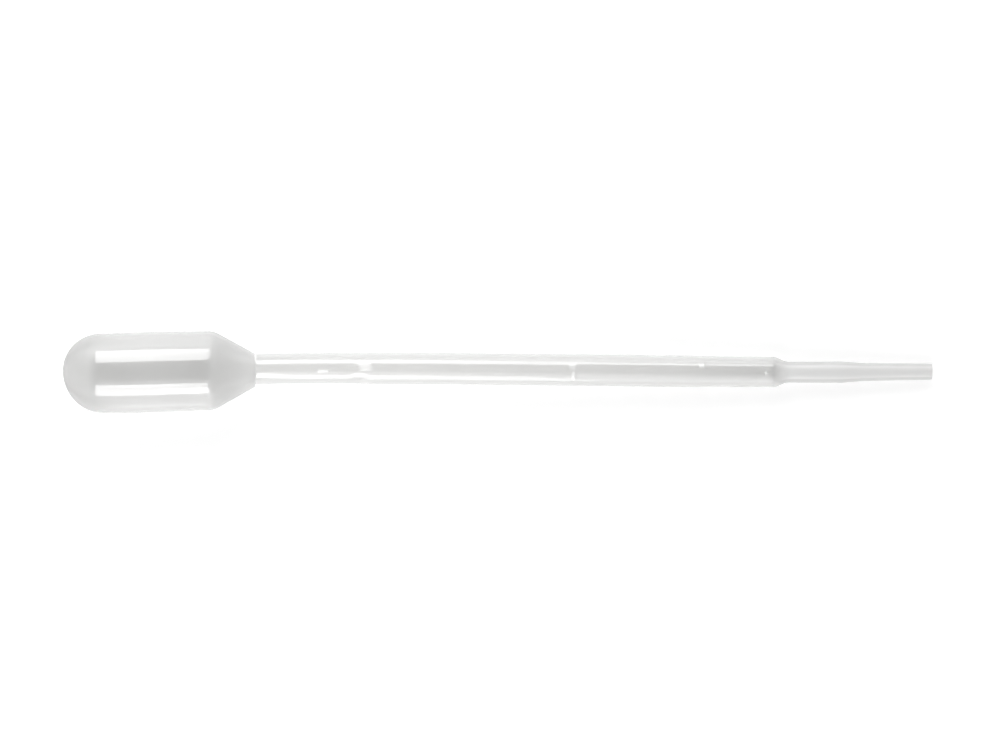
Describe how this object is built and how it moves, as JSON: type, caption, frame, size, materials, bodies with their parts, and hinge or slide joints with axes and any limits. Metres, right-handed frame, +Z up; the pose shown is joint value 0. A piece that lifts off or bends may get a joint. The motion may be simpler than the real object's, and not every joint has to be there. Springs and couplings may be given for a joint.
{
  "type": "plastic dropper pipette",
  "caption": "One-piece squeeze dropper: a round-ended hollow bulb on a long thin graduated stem with a stepped, narrower tip that draws up and drips liquid.",
  "frame": {"origin": "on the table under the middle of the length and width, with the pipette lying at rest", "axes": "+X along the length, from the bulb to the tip, +Z up, +Y to the left of the tip; the long axis dips towards the tip by about 2.4 degrees, as it rests"},
  "size_m": [0.15, 0.0138, 0.0142],
  "materials": {
    "polyethylene": "translucent soft low-density polyethylene, milky in the bulb, clearer in the stem, satin from the mould"
  },
  "bodies": {
    "root": {"pipette_body": "polyethylene"}
  },
  "joints": []
}
